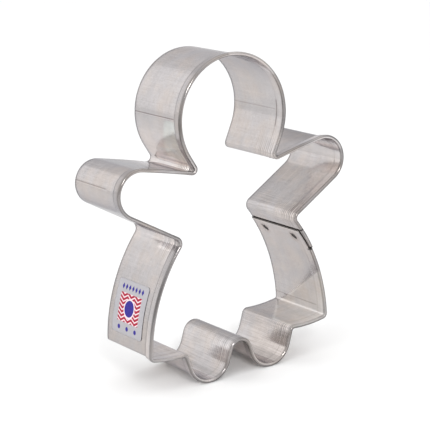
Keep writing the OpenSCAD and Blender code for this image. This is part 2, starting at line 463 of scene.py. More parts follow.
def nugget_mesh():
    """Both nuggets, each a drum with a dished end on either face of the lap."""
    points, faces, uvs = [], [], []
    for weld_y in WELD_YS:
        rims = []
        for centre, side in ((WELD_OUTER, 1), (WELD_INNER, -1)):
            first = len(points)
            points.append(strip_point(centre, weld_y, side * (HALF_T - nugget_depth(0, 0))))
            uvs.append((0, 0))
            for ring in range(1, NUGGET_RINGS + 1):
                r = NUGGET_R * ring / NUGGET_RINGS
                for turn in range(NUGGET_SIDES):
                    angle = math.tau * turn / NUGGET_SIDES
                    along, across = r * math.cos(angle), r * math.sin(angle)
                    out = side * (HALF_T - nugget_depth(across, along))
                    points.append(strip_point(centre + along, weld_y + across, out))
                    uvs.append((across * MM, (along - TROUGH_SHIFT) * MM))
            for turn in range(NUGGET_SIDES):
                after = (turn + 1) % NUGGET_SIDES
                faces.append([first, first + 1 + turn, first + 1 + after][::side])
                for ring in range(NUGGET_RINGS - 1):
                    inner = first + 1 + ring * NUGGET_SIDES
                    outer = inner + NUGGET_SIDES
                    faces.append([inner + turn, outer + turn, outer + after, inner + after][::side])
            rims.append(first + 1 + (NUGGET_RINGS - 1) * NUGGET_SIDES)
        for turn in range(NUGGET_SIDES):
            after = (turn + 1) % NUGGET_SIDES
            faces.append([rims[0] + turn, rims[1] + turn, rims[1] + after, rims[0] + after])
    return points, faces, uvs


# Label: its middle's place on the skirt, its round corners, its cells, the glue's inset and the bed's depth
label_a = math.pi - math.asin((LABEL_Z - side_left[1]) / SIDE_BOW)
side_start_s = STARTS[next(i for i, stretch in enumerate(STRETCHES) if stretch.get("bend") is side_left)]
side_start_a = angle_of(run_normal(corner(LEFT), side_left))
LABEL_S = side_start_s + ((side_start_a - label_a) % math.tau) * SIDE_BOW
LABEL_Y = FRONT + LABEL_FRONT + LABEL_W / 2
LABEL_ROUND = 1.1
LABEL_CELLS = 48
GLUE_INSET, JOINT_INSET = 0.25, 0.01
# Lift of the film: the height and the start of the curl at one corner and along one side, and its wrinkles
CORNER_CURL, CORNER_CURL_FROM = 0.10, 1.72
SIDE_CURL, SIDE_CURL_FROM = 0.05, 0.97
FILM_WRINKLE, FILM_ACROSS, FILM_ALONG, FILM_BEAT, FILM_SHIFT = 0.012, 0.9, 0.35, 0.6, 0.8


def round_rectangle(u, v, half_u, half_v, radius):
    """A place of a rectangle's grid, moved so that the grid's corners turn round."""
    corner_u, corner_v = half_u - radius, half_v - radius
    over_u, over_v = abs(u) - corner_u, abs(v) - corner_v
    if over_u <= 0 or over_v <= 0:
        return u, v
    scale = max(over_u, over_v) / math.hypot(over_u, over_v)
    return math.copysign(corner_u + over_u * scale, u), math.copysign(corner_v + over_v * scale, v)


def label_lift(u, v, inset):
    """Height of the film over its even bed: a curl at one corner and one side, and long shallow wrinkles."""
    half_u, half_v = LABEL_W / 2 - inset, LABEL_LEN / 2 - inset
    curl = CORNER_CURL * eased(u / half_u - v / half_v, CORNER_CURL_FROM, 2.0)
    curl += SIDE_CURL * eased(u / half_u, SIDE_CURL_FROM, 1.0)
    wrinkle = math.sin(u * FILM_ACROSS + v * FILM_ALONG) * math.sin(v * FILM_BEAT + FILM_SHIFT)
    return curl + FILM_WRINKLE * (wrinkle + 1)


def label_sheet(low, high, inset, lifted):
    """A thin sheet on the skirt's left side, between two heights above the tinplate's outer face."""
    points, faces, uvs, index = [], [], [], {}
    half_u, half_v = LABEL_W / 2 - inset, LABEL_LEN / 2 - inset
    steps = np.linspace(-1, 1, LABEL_CELLS + 1)
    for i, a in enumerate(steps):
        for j, b in enumerate(steps):
            u, v = round_rectangle(a * half_u, b * half_v, half_u, half_v, LABEL_ROUND)
            lift = label_lift(u, v, inset) if lifted else 0
            for top, height in ((0, low), (1, high)):
                index[i, j, top] = len(points)
                points.append(strip_point(LABEL_S + v, LABEL_Y - u, HALF_T - JOINT_INSET + height + lift))
                uvs.append((u * MM, v * MM))
    for i in range(LABEL_CELLS):
        for j in range(LABEL_CELLS):
            ring = [(i, j), (i + 1, j), (i + 1, j + 1), (i, j + 1)]
            faces.append([index[i2, j2, 1] for i2, j2 in ring])
            faces.append([index[i2, j2, 0] for i2, j2 in reversed(ring)])
    border = [(i, 0) for i in range(LABEL_CELLS)]
    border += [(LABEL_CELLS, j) for j in range(LABEL_CELLS)]
    border += [(i, LABEL_CELLS) for i in range(LABEL_CELLS, 0, -1)]
    border += [(0, j) for j in range(LABEL_CELLS, 0, -1)]
    for (i, j), (i2, j2) in zip(border, border[1:] + border[:1]):
        faces.append([index[i, j, 0], index[i2, j2, 0], index[i2, j2, 1], index[i, j, 1]])
    return points, faces, uvs


def new_piece(name, points, faces, uvs, materials, slots=None):
    mesh = bpy.data.meshes.new(name)
    mesh.from_pydata(points, [], faces)
    for material in materials:
        mesh.materials.append(material)
    if slots is not None:
        mesh.polygons.foreach_set("material_index", slots)
    layer = mesh.uv_layers.new(name="sheet")
    for loop in mesh.loops:
        layer.data[loop.index].uv = uvs[loop.vertex_index]
    mesh.validate()
    mesh.update()
    piece = bpy.data.objects.new(name, mesh)
    bpy.context.scene.collection.objects.link(piece)
    for polygon in mesh.polygons:
        polygon.use_smooth = True
    return piece


class Graph:
    """A node tree, with a short call for each kind of node that the materials use."""

    def __init__(self, tree):
        self.tree = tree

    def node(self, kind, inputs=(), **settings):
        node = self.tree.nodes.new(kind)
        for key, value in settings.items():
            setattr(node, key, value)
        for key, value in dict(inputs).items():
            self.feed(node.inputs[key], value)
        return node

    def feed(self, socket, value):
        if isinstance(value, bpy.types.NodeSocket):
            self.tree.links.new(value, socket)
        else:
            socket.default_value = value

    def math(self, operation, *values):
        return self.node("ShaderNodeMath", dict(enumerate(values)), operation=operation).outputs[0]

    def times(self, a, b):
        return self.math("MULTIPLY", a, b)

    def plus(self, a, b):
        return self.math("ADD", a, b)

    def minus(self, a, b):
        return self.math("SUBTRACT", a, b)

    def linear(self, value, slope, shift):
        return self.math("MULTIPLY_ADD", value, slope, shift)

    def flat_place(self):
        return self.node("ShaderNodeUVMap", uv_map="sheet").outputs["UV"]

    def vector(self, operation, *values):
        node = self.node("ShaderNodeVectorMath", dict(enumerate(values)), operation=operation)
        return node.outputs["Value" if operation in ("DOT_PRODUCT", "DISTANCE") else "Vector"]

    def step(self, value, low, high, out_low=0.0, out_high=1.0):
        """A smooth step: out_low up to low, out_high from high on."""
        inputs = {"Value": value, "From Min": low, "From Max": high, "To Min": out_low, "To Max": out_high}
        return self.node("ShaderNodeMapRange", inputs, interpolation_type="SMOOTHSTEP").outputs["Result"]

    def window(self, value, rise_from, rise_to, fall_from, fall_to):
        """One between a smooth rise and a smooth fall, and zero outside them."""
        rise = self.step(value, rise_from, rise_to)
        return self.times(rise, self.step(value, fall_from, fall_to, 1.0, 0.0))

    def line(self, value, centre, core, edge, peak=1.0):
        """A soft line: its peak out to the core's half width, and nothing from the edge on."""
        gap = self.math("ABSOLUTE", self.minus(value, centre))
        return self.step(gap, core, edge, peak, 0.0)

    def length(self, a, b):
        return self.math("SQRT", self.plus(self.times(a, a), self.times(b, b)))

    def ramp(self, value, stops, interpolation="EASE"):
        node = self.node("ShaderNodeValToRGB", {"Fac": value})
        ramp = node.color_ramp
        ramp.interpolation = interpolation
        while len(ramp.elements) < len(stops):
            ramp.elements.new(1.0)
        for element, (position, colour) in zip(ramp.elements, stops):
            element.position = position
            element.color = (*colour, 1)
        return node.outputs["Color"]

    def mix(self, factor, first, second, blend="MIX"):
        node = self.node("ShaderNodeMix", data_type="RGBA", blend_type=blend)
        colours = [socket for socket in node.inputs if socket.type == "RGBA"]
        self.feed(node.inputs[0], factor)
        self.feed(colours[0], first)
        self.feed(colours[1], second)
        return next(socket for socket in node.outputs if socket.type == "RGBA")

    def noise(self, vector, scale, detail=2.0, roughness=0.5):
        inputs = {"Vector": vector, "Scale": scale, "Detail": detail, "Roughness": roughness}
        return self.node("ShaderNodeTexNoise", inputs).outputs["Fac"]

    def stretched(self, vector, scale):
        return self.vector("MULTIPLY", vector, scale)

    def bump(self, height, distance, strength=1.0):
        inputs = {"Height": height, "Distance": distance, "Strength": strength}
        return self.node("ShaderNodeBump", inputs).outputs["Normal"]


def new_material(name):
    material = bpy.data.materials.new(name)
    material.use_nodes = True
    graph = Graph(material.node_tree)
    return material, graph, material.node_tree.nodes["Principled BSDF"]


def grey(level):
    return (level, level, level)


def rgba(colour):
    return (*colour, 1)


# Painted reflection and shade on the sheet's outer and inner face along the strip, as tone: (millimetres
# from the inner end, tone)
OUTER_PAINTED_LIGHT = [
    (0, 0.8), (60, 1.3), (84, 1.1), (91, 1.2), (97, 1.07), (108, 0.82), (117, 0.73), (136, 0.75),
    (146, 0.84), (151, 1.0), (163, 0.65), (169, 0.36), (176, 0.81), (182, 0.83), (199, 0.86), (203, 1.3),
    (206, 1.9), (209, 1.12), (212, 1.08), (217, 1.0), (225, 0.83), (236, 0.86), (247, 0.91), (252, 0.96),
    (298, 1.1), (307, 0.92), (313, 0.7), (320, 0.36), (336, 0.7),
]
INNER_PAINTED_LIGHT = [
    (0, 0.89), (18, 0.83), (24, 0.85), (29.2, 0.82), (30.6, 0.9), (31.6, 0.87), (37, 0.84), (43, 0.73),
    (49, 0.86), (55, 0.84), (58, 1.2), (61, 1.4), (64, 1.25), (68, 0.8), (73, 0.68), (79, 0.93),
    (85, 0.78), (88, 0.84), (91, 1.6), (105, 1.07), (150, 0.7), (265, 0.85), (271, 0.86), (285, 0.84),
    (295, 0.84), (306, 1.0), (319, 1.7), (322.6, 1.9), (324.4, 0.95), (331, 0.81), (351, 0.84),
    (357, 0.88),
]
# Painted shade and highlights, as tone of the visible face across the strip, from the cutting edge round the
# fold to the flap's own edge: dark lines at the cutting edge, the hem's line and the flap's edge, light and
# dark bands round the fold
ACROSS_PAINTED_LIGHT = [
    (0, 0.8), (0.5, 1.0), (21.5, 1.0), (22.0, 0.85), (22.4, 1.04), (24.4, 1.04), (24.85, 0.82),
    (25.2, 0.74), (25.35, 0.86), (25.5, 0.95), (25.8, 0.78), (26.1, 0.72), (26.5, 0.98), (26.9, 0.86),
    (27.2, 1.03), (27.8, 0.93), (28.1, 1.04), (28.5, 0.95), (28.8, 0.66),
]
ACROSS_REACH = 29.0
# Painted reflection and shade on the inner and on the outer half of the fold's round, as tone along the
# strip
CREST_PAINTED_LIGHT = [
    (0, 0.95), (15, 0.74), (28, 0.7), (39, 0.95), (45, 0.8), (57, 1.0), (63, 0.9), (72, 1.0), (82, 0.82),
    (93, 0.86), (105, 1.0), (147, 0.93), (160, 1.05), (177, 0.8), (187, 1.1), (200, 1.06), (208, 0.9),
    (225, 0.88), (232, 1.0), (240, 0.78), (250, 1.0), (264, 0.93), (279, 0.6), (286, 0.76), (291, 1.15),
    (297, 0.95), (309, 1.1), (316, 0.9), (321, 0.62), (330, 0.78), (345, 0.97), (351, 0.84),
]
RIM_PAINTED_LIGHT = [
    (0, 0.55), (25, 0.36), (42, 0.34), (50, 0.33), (62, 0.48), (75, 0.8), (82, 0.58), (92, 0.34),
    (112, 0.65), (122, 0.5), (135, 0.4), (142, 0.7), (148, 0.85), (155, 0.85), (168, 1.1), (178, 0.7),
    (184, 0.72), (191, 1.0), (200, 1.3), (210, 0.92), (218, 0.75), (224, 0.33), (230, 0.66), (236, 0.7),
    (245, 0.8), (265, 0.78), (275, 0.55), (285, 0.28), (291, 0.6), (313, 0.56), (321, 0.25), (345, 0.55),
]
# Strength of the tool marks that run across the strip: strong on the feet and at the tight bends
TOOL_MARKS = [
    (0, 0.25), (39, 0.3), (44, 1.0), (106, 1.0), (113, 0.35), (149, 0.3), (153, 0.8), (158, 0.3),
    (203, 0.4), (207, 0.9), (212, 0.35), (295, 0.3), (299, 0.8), (303, 0.3), (344, 0.35), (350, 0.9),
]
# Squeezed bends with fine gathers that get painted glints and shade (place, strength), and the gathers'
# reach along and across the strip
GATHERED = [(44.3, 0.6), (79.5, 0.6), (105.4, 0.6), (151.5, 1.1), (209.2, 2.2), (297.0, 0.8), (352.0, 1.1)]
GATHER_ALONG, GATHER_FROM, GATHER_TO = 9.0, 13.0, 21.0
RIDGE_PITCH, RIDGE_DRIFT, RIDGE_GLINT_SHADE = 0.85, 7.0, 0.26
# Grain of the sheet: how each noise is stretched along and across the strip, or its plain scale
FINE_SCALE, COARSE_SCALE, FOLD_SCALE, TOOL_SCALE = (45, 1700, 1), (22, 620, 1), (50, 800, 1), (2300, 75, 1)
CLOUD_SCALE, GRAIN_SCALE, TINT_SCALE = 260, 1500, 95
# Strength of the fine grain on wall and hem, and the depths between which it grows; then of the rest
FINE_ON_WALL, FINE_ON_HEM, FINE_FROM, FINE_TO = 0.10, 0.45, 20.0, 24.0
COARSE_STREAK, TOOL_STREAK = 0.16, 0.75
BASE_LEVEL, CLOUD_SHARE, GRAIN_SHARE = 0.80, 0.2, 0.2
# Depths across the strip at which the fold's round starts, turns outward and ends
FOLD_INSIDE, FOLD_MIDDLE, FOLD_OUTSIDE = (24.4, 24.8), (25.35, 25.5), (26.2, 26.5)
# Painted shade in the creases, and along the hem's pressed line in the head: half widths, strength and ends
CREASE_CORE, CREASE_EDGE, CREASE_DARKNESS = 0.08, 0.24, 13
PRESSED_SHADE_CORE, PRESSED_SHADE_EDGE, PRESSED_SHADE_STRENGTH = 0.16, 0.4, 0.75
PRESSED_SHADE_ENDS = (278.5, 279.5, 286.5, 287.5)
# Heat tint round a weld, and the scratch beside it: where each starts to fade and ends, and its strength
HALO_CORE, HALO_EDGE, HALO_STRENGTH = 1.3, 2.8, 0.8
SCRATCH_RAGGED, SCRATCH_CORE, SCRATCH_EDGE, SCRATCH_STRENGTH = 0.8, 0.8, 1.6, 0.8
# Painted shadow in the gaps at the lap: half width, faded edge and shift from the lap's edge; the inner
# end's dark tip; the rise and fall of the snip's line; the height of hem that shows; and the outer end's
# edge
GAP_CORE, GAP_EDGE, GAP_SHIFT = 0.15, 0.3, 0.1
TIP_CORE, TIP_EDGE = 0.2, 0.4
SNIP_ENDS = (-0.3, -0.1, 0.2, 0.4)
HEM_SHOWN = 1.4
OUTER_END_FROM, OUTER_END_TO = 0.35, 0.2
TIN_WARM = (0.633, 0.575, 0.545)
TIN_COOL = (0.593, 0.565, 0.565)
GRAZING_TINT = (0.6, 0.6, 0.63)
CREASE_SHADE_TONE = (0.50, 0.46, 0.45)
HEAT_TINT = (0.88, 0.84, 0.81)
GAP_SHADOW_TONE = (0.012, 0.010, 0.010)
SCRATCH_TONE = (0.07, 0.06, 0.055)
# Painted reflections where faces mirror each other, lighter and less metallic: (side, place and depth on a
# line, its slope, from, to, gain, loss of metallic look, tint)
PAINTED_REFLECTIONS = [
    (-1, 30.8, 1.8, -1.5, 12.0, 30.8, 1.28, 0.35, (0.99, 1.0, 0.975)),
    (-1, 30.8, 1.8, 1.08, 30.8, 43.0, 1.28, 0.35, (0.99, 1.0, 0.975)),
    (-1, 260.0, 15.0, 1.0, 252.0, 270.0, 1.4, 0.0, (1.0, 1.0, 1.0)),
    (1, 217.0, 13.4, 0.4, 211.9, 225.0, 1.2, 0.0, (0.92, 0.99, 0.98)),
    (1, 149.0, 14.5, 0.0, 147.9, 149.9, 1.4, 0.0, (1.0, 1.0, 1.0)),
    (1, 147.5, 26.0, 0.0, 145.5, 147.9, 1.5, 0.0, (1.0, 1.0, 1.0)),
]
REFLECTION_SOFT, REFLECTION_END = 0.9, 0.4
METALLIC = 0.85
# Roughness: its least, and what the coarse grain and the clouds add; then the height of the sheet's grain
SMOOTHEST, COARSE_ROUGH, CLOUD_ROUGH = 0.10, 0.10, 0.04
FINE_HEIGHT, SHEET_BUMP, SHEET_BUMP_STRENGTH = 0.4, 0.000012, 0.6


def lap_gap_shadow(g, u, v):
    """Where painted shadow darkens the gaps on the inner face: at the lap's edge, along the snip and between
    the hems.
    """
    gap = g.line(u, (LAP_EDGE - GAP_SHIFT) * MM, GAP_CORE * MM, GAP_EDGE * MM)
    gap = g.math("MAXIMUM", gap, g.step(u, TIP_CORE * MM, TIP_EDGE * MM, 1.0, 0.0))
    from_front = g.minus((BACK - FRONT) * MM, g.math("ABSOLUTE", v))
    past_edge = g.minus(u, LAP_EDGE * MM)
    snip_edge = g.linear(past_edge, (SNIP_ROOT - SNIP_END) / HEM_START, SNIP_END * MM)
    snip = g.window(g.minus(snip_edge, from_front), *(edge * MM for edge in SNIP_ENDS))
    snip = g.times(snip, g.math("GREATER_THAN", past_edge, -GAP_SHIFT * MM))
    on_hem = g.math("LESS_THAN", from_front, HEM_SHOWN * MM)
    outer_end = g.step(u, (STRIP_LEN - OUTER_END_FROM) * MM, (STRIP_LEN - OUTER_END_TO) * MM)
    hem_ends = g.math("MAXIMUM", outer_end, g.line(u, HEM_START * MM, GAP_CORE * MM, GAP_EDGE * MM))
    return g.math("MAXIMUM", g.math("MAXIMUM", gap, snip), g.times(on_hem, hem_ends))


def beyond(g, u, depth, line_at, line_depth, slope, u_from, u_to):
    """Mask of a painted reflection where a face mirrors its neighbour: deeper than a slanting line, between
    two places.
    """
    line = g.linear(u, slope, (line_depth - slope * line_at) * MM)
    mask = g.step(g.minus(depth, line), -REFLECTION_SOFT * MM, REFLECTION_SOFT * MM)
    ends = [(end + edge) * MM for end in (u_from, u_to) for edge in (-REFLECTION_END, REFLECTION_END)]
    return g.times(mask, g.window(u, *ends))


def tone_along(g, along, stops):
    """A grey ramp over the strip's length, from stops in millimetres."""
    return g.ramp(along, [(s / STRIP_LEN, grey(tone)) for s, tone in stops])


def at_depth(g, across, *edges):
    """One between two depths across the strip, each given by where its rise or fall starts and ends."""
    return g.window(across, *(edge / ACROSS_REACH for edge in edges))


def sheet_painted_light(g, v, along, across):
    """Painted reflection and shade of the tin as a grey factor, by its side, the place along the strip and
    the depth across it.
    """
    outside = g.math("GREATER_THAN", v, 0.0)
    tone = g.mix(outside, tone_along(g, along, INNER_PAINTED_LIGHT), tone_along(g, along, OUTER_PAINTED_LIGHT))
    rim = g.ramp(across, [(t / ACROSS_REACH, grey(level)) for t, level in ACROSS_PAINTED_LIGHT], "LINEAR")
    tone = g.mix(1.0, tone, rim, "MULTIPLY")
    outer_fold = at_depth(g, across, *FOLD_MIDDLE, *FOLD_OUTSIDE)
    tone = g.mix(outer_fold, tone, tone_along(g, along, RIM_PAINTED_LIGHT), "MULTIPLY")
    inner_fold = at_depth(g, across, *FOLD_INSIDE, *FOLD_MIDDLE)
    return g.mix(inner_fold, tone, tone_along(g, along, CREST_PAINTED_LIGHT), "MULTIPLY")


def sheet_streaks(g, sheet, v, along, across, fine, coarse):
    """Light and dark lines along the strip: its grain, and painted glints and shade of the gathers at the
    squeezed bends.
    """
    near_rim = g.step(across, FINE_FROM / ACROSS_REACH, FINE_TO / ACROSS_REACH, FINE_ON_WALL, FINE_ON_HEM)
    streaks = g.times(g.minus(fine, 0.5), near_rim)
    streaks = g.plus(streaks, g.times(g.minus(coarse, 0.5), COARSE_STREAK))
    gathers = [
        (spot + reach, strength)
        for spot, peak in GATHERED for reach, strength in ((-GATHER_ALONG, 0), (0, peak), (GATHER_ALONG, 0))
    ]
    gather = tone_along(g, along, gathers)
    gather = g.times(gather, g.step(across, GATHER_FROM / ACROSS_REACH, GATHER_TO / ACROSS_REACH))
    # Painted glints and shade of the gathers: stretched noise and fine ridges
    folds = g.noise(g.stretched(sheet, FOLD_SCALE), 1.0, 2.0, 0.5)
    wave = g.linear(folds, RIDGE_DRIFT, g.times(v, math.tau / (RIDGE_PITCH * MM)))
    ridges = g.times(g.math("SINE", wave), RIDGE_GLINT_SHADE)
    folds = g.plus(g.minus(folds, 0.5), ridges)
    return g.plus(streaks, g.times(gather, folds))


def weld_scratch(g, sheet, weld_y, fine):
    """The dark scratch beside a weld, in which its trough runs on over the inner face."""
    cos_turn, sin_turn = math.cos(TROUGH_TURN), math.sin(TROUGH_TURN)
    from_y, from_s = BACK - weld_y, WELD_INNER + TROUGH_SHIFT
    a = g.vector("DOT_PRODUCT", sheet, (sin_turn / MM, cos_turn / MM, 0))
    a = g.plus(a, from_y * cos_turn - from_s * sin_turn - SCRATCH_AT)
    b = g.vector("DOT_PRODUCT", sheet, (cos_turn / MM, -sin_turn / MM, 0))
    b = g.plus(b, -from_s * cos_turn - from_y * sin_turn)
    a, b = g.math("DIVIDE", a, SCRATCH_LEN), g.math("DIVIDE", b, SCRATCH_WIDTH)
    oblong = g.plus(g.times(a, a), g.times(b, b))
    ragged = g.plus(oblong, g.times(fine, SCRATCH_RAGGED))
    return g.step(ragged, SCRATCH_CORE, SCRATCH_EDGE, SCRATCH_STRENGTH, 0.0)


def marked(g, colour, sheet, position, u, v, fine):
    """The colour with painted shade in its creases and along the hem's pressed line in the head, the welds'
    heat and scratches, and painted shadow in the lap's gaps.
    """
    # Painted shade in each crease and along the hem's pressed line in the head
    for crease, y_from, _, depth in CREASES:
        strength = min(1.0, depth * CREASE_DARKNESS)
        line = g.line(u, crease * MM, CREASE_CORE * MM, CREASE_EDGE * MM, strength)
        start = (BACK - y_from) * MM
        reach = g.step(g.math("ABSOLUTE", v), start - CREASE_FADE * MM, start, 1.0, 0.0)
        colour = g.mix(g.times(line, reach), colour, rgba(CREASE_SHADE_TONE), "MULTIPLY")
    line = g.line(v, (HEM_LINE_Y - BACK) * MM, PRESSED_SHADE_CORE * MM, PRESSED_SHADE_EDGE * MM, PRESSED_SHADE_STRENGTH)
    pressed_shade = g.times(line, g.window(u, *(end * MM for end in PRESSED_SHADE_ENDS)))
    colour = g.mix(pressed_shade, colour, rgba(CREASE_SHADE_TONE), "MULTIPLY")
    for weld_y in WELD_YS:
        gap = g.vector("DISTANCE", position, strip_point(WELD_INNER, weld_y, HALF_T))
        halo = g.step(gap, HALO_CORE * MM, HALO_EDGE * MM, HALO_STRENGTH, 0.0)
        colour = g.mix(halo, colour, rgba(HEAT_TINT), "MULTIPLY")
        colour = g.mix(weld_scratch(g, sheet, weld_y, fine), colour, rgba(SCRATCH_TONE))
    # Painted shadow in the lap's gaps, on the inner face
    gap = g.times(lap_gap_shadow(g, u, v), g.math("LESS_THAN", v, 0.0))
    return g.mix(gap, colour, rgba(GAP_SHADOW_TONE))


def tinplate_material():
    """Tinned steel: its grain, painted reflection and shade as tones along the strip, its marks, and painted
    reflections where faces mirror others.
    """
    material, g, shader = new_material("tinplate")
    shader.inputs["Specular Tint"].default_value = rgba(GRAZING_TINT)
    sheet = g.flat_place()
    position = g.node("ShaderNodeTexCoord").outputs["Object"]
    axes = g.node("ShaderNodeSeparateXYZ", {"Vector": sheet})
    u, v = axes.outputs["X"], axes.outputs["Y"]
    along = g.math("DIVIDE", u, STRIP_LEN * MM)
    across = g.math("DIVIDE", g.math("ABSOLUTE", v), ACROSS_REACH * MM)
    fine = g.noise(g.stretched(sheet, FINE_SCALE), 1.0, 3.0, 0.65)
    coarse = g.noise(g.stretched(sheet, COARSE_SCALE), 1.0, 3.0, 0.5)
    cloud = g.noise(position, CLOUD_SCALE, 3.0, 0.55)
    grain = g.noise(position, GRAIN_SCALE, 2.0, 0.6)
    tool = g.noise(g.stretched(sheet, TOOL_SCALE), 1.0, 3.0, 0.6)
    tool_strength = g.times(tone_along(g, along, TOOL_MARKS), TOOL_STREAK)
    tool = g.times(g.minus(tool, 0.5), tool_strength)
    streaks = g.plus(sheet_streaks(g, sheet, v, along, across, fine, coarse), tool)
    level = g.plus(streaks, g.linear(cloud, CLOUD_SHARE, BASE_LEVEL))
    level = g.linear(grain, GRAIN_SHARE, level)
    tint = g.ramp(g.noise(position, TINT_SCALE, 3.0, 0.6), [(0.35, TIN_COOL), (0.65, TIN_WARM)])
    # Painted reflection and shade: tones along the strip and across the fold, multiplied into the tin's
    # colour
    colour = g.mix(1.0, tint, sheet_painted_light(g, v, along, across), "MULTIPLY")
    metallic = METALLIC
    # Painted reflections: lighter, less metallic patches where faces mirror each other
    for side, line_at, line_depth, slope, u_from, u_to, gain, loss, reflection_tint in PAINTED_REFLECTIONS:
        painted_reflection = beyond(g, u, g.times(v, side), line_at, line_depth, slope, u_from, u_to)
        colour = g.mix(painted_reflection, colour, rgba(gain * part for part in reflection_tint), "MULTIPLY")
        metallic = g.linear(painted_reflection, -loss, metallic)
    g.feed(shader.inputs["Metallic"], metallic)
    colour = g.vector("SCALE", marked(g, colour, sheet, position, u, v, fine))
    g.feed(colour.node.inputs["Scale"], level)
    g.feed(shader.inputs["Base Color"], colour)
    rough = g.linear(coarse, COARSE_ROUGH, SMOOTHEST)
    rough = g.plus(rough, g.times(cloud, CLOUD_ROUGH))
    g.feed(shader.inputs["Roughness"], rough)
    height = g.plus(g.times(fine, FINE_HEIGHT), g.plus(coarse, tool))
    g.feed(shader.inputs["Normal"], g.bump(height, SHEET_BUMP, SHEET_BUMP_STRENGTH))
    return material


EDGE_DARK, EDGE_PALE = (0.15, 0.135, 0.13), (0.36, 0.33, 0.31)
TROUGH_RAGGED = 1.1


def edge_material():
    """The sheet's cut edges: bare steel, darker than the tin, with the shear's fine vertical marks; the
    darkness is also painted shade where the lap's end sits in its gap.
    """
    material, g, shader = new_material("cut_edge")
    shader.inputs["Metallic"].default_value = 1.0
    position = g.node("ShaderNodeTexCoord").outputs["Object"]
    marks = g.noise(position, 2200, 3.0)
    g.feed(shader.inputs["Base Color"], g.ramp(marks, [(0.3, EDGE_DARK), (0.7, EDGE_PALE)]))
    g.feed(shader.inputs["Roughness"], g.linear(marks, 0.3, 0.28))
    g.feed(shader.inputs["Normal"], g.bump(marks, 0.00002, 0.5))
    return material


def weld_material():
    """Steel scorched by the weld: a dark oblong trough and a brighter pressed ring."""
    material, g, shader = new_material("weld_metal")
    shader.inputs["Metallic"].default_value = 0.9
    sheet = g.flat_place()
    cos_turn, sin_turn = math.cos(TROUGH_TURN), math.sin(TROUGH_TURN)
    a = g.vector("DOT_PRODUCT", sheet, (cos_turn / TROUGH_LEN / MM, sin_turn / TROUGH_LEN / MM, 0))
    b = g.vector("DOT_PRODUCT", sheet, (-sin_turn / TROUGH_WIDTH / MM, cos_turn / TROUGH_WIDTH / MM, 0))
    grain = g.noise(sheet, 2600, 4.0, 0.6)
    edge = g.plus(g.length(a, b), g.linear(grain, TROUGH_RAGGED, -TROUGH_RAGGED / 2))
    colours = [
        (0.0, (0.06, 0.05, 0.05)), (0.3, (0.035, 0.03, 0.03)), (0.5, (0.07, 0.06, 0.055)),
        (0.62, (0.40, 0.36, 0.34)), (0.9, (0.52, 0.49, 0.47)),
    ]
    g.feed(shader.inputs["Base Color"], g.ramp(g.times(edge, 0.5), colours))
    g.feed(shader.inputs["Roughness"], g.step(edge, 0.5, 1.3, 0.55, 0.3))
    g.feed(shader.inputs["Normal"], g.bump(grain, 0.00003, 0.7))
    return material


tinplate = tinplate_material()
cut_edge = edge_material()
weld_metal = weld_material()
points, faces, slots, uvs = band_mesh()
band = new_piece("tinplate_band", points, faces, uvs, [tinplate, cut_edge], slots)
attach(band, "root")
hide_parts("cutter_band")

points, faces, uvs = nugget_mesh()
nuggets = new_piece("weld_nuggets", points, faces, uvs, [weld_metal])
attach(nuggets, "root")
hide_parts("spot_welds")


# Colours of film, print and glue; then the print, in millimetres from its middle: chevrons round a disc, a
# row of lozenges and three dots
FILM_DULL, FILM_BRIGHT = (0.40, 0.39, 0.41), (0.48, 0.47, 0.495)
PRINT_WHITE, PRINT_RED, PRINT_BLUE = (0.76, 0.64, 0.67), (0.30, 0.010, 0.030), (0.02, 0.012, 0.20)
RED_WORN, BLUE_WORN = (0.38, 0.020, 0.050), (0.04, 0.028, 0.26)
GLUE_DULL, GLUE_PALE = (0.62, 0.60, 0.54), (0.74, 0.73, 0.68)
FIELD_U, FIELD_V, FIELD_HALF_U, FIELD_HALF_V = 0.0, -0.1, 5.6, 4.3
CHEVRON_PITCH, CHEVRON_RISE, STRIPE_PITCH, RED_SHARE = 3.73, 1.0, 1.23, 0.66
DISC_R, DISC_RING = 2.5, 0.45
LOZENGE_V, LOZENGE_PITCH, LOZENGE_U, LOZENGE_H, LOZENGES_OUT = 6.0, 1.75, 0.62, 0.95, 6.2
DOTS_V, DOTS_PITCH, DOT_R, DOTS_OUT = -6.2, 4.4, 0.7, 6.0
INK_EDGE = 0.06


